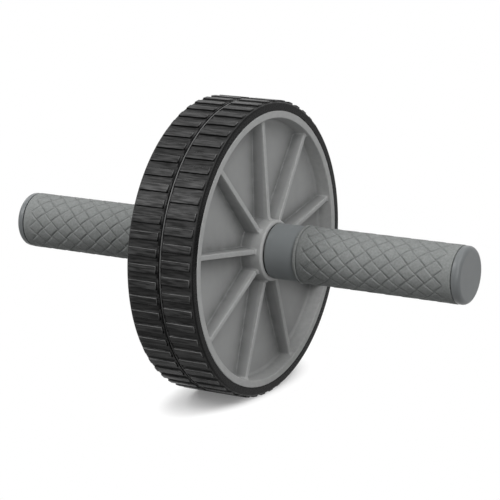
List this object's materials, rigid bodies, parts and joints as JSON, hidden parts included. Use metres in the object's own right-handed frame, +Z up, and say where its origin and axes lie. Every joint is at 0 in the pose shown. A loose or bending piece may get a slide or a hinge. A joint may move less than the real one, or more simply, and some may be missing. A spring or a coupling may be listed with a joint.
{
  "type": "ab wheel roller",
  "caption": "Exercise roller with ribbed wheels side by side in barred rubber tyres, turning freely on an axle between handles with textured grips.",
  "frame": {"origin": "on the floor under the middle of the axle, midway between the two wheels", "axes": "+X along the axle towards the right handle, +Z up, +Y the way the wheels roll"},
  "size_m": [0.316, 0.185, 0.185],
  "materials": {
    "wheel_plastic": "moulded grey plastic, fine matte grain",
    "tyre_rubber": "black rubber, satin bars on a matte floor",
    "collar_plastic": "smooth satin grey plastic",
    "grip_rubber": "matte grey rubber with a woven relief",
    "cap_plastic": "smooth satin grey plastic",
    "nylon": "natural nylon, semi-matte",
    "steel": "zinc-plated steel, drawn and bright"
  },
  "bodies": {
    "axle_and_handles": {"axle": "steel", "wheel_spacer": "nylon", "thrust_washer_right": "nylon", "thrust_washer_left": "nylon", "handle_core_right": "collar_plastic", "handle_core_left": "collar_plastic", "grip_right": "grip_rubber", "grip_left": "grip_rubber", "end_cap_right": "cap_plastic", "end_cap_left": "cap_plastic", "handle_screw_right": "steel", "handle_screw_left": "steel", "screw_washer_right": "steel", "screw_washer_left": "steel"},
    "right_wheel": {"wheel_right": "wheel_plastic", "tyre_right": "tyre_rubber", "bush_right_inner": "nylon", "bush_right_outer": "nylon"},
    "left_wheel": {"wheel_left": "wheel_plastic", "tyre_left": "tyre_rubber", "bush_left_inner": "nylon", "bush_left_outer": "nylon"}
  },
  "joints": [
    {"name": "right_wheel_spin", "type": "hinge", "parent": "axle_and_handles", "child": "right_wheel", "pos_m": [0.0116, 0, 0.0925], "axis": [1, 0, 0], "continuous": true},
    {"name": "left_wheel_spin", "type": "hinge", "parent": "axle_and_handles", "child": "left_wheel", "pos_m": [-0.0116, 0, 0.0925], "axis": [1, 0, 0], "continuous": true}
  ]
}
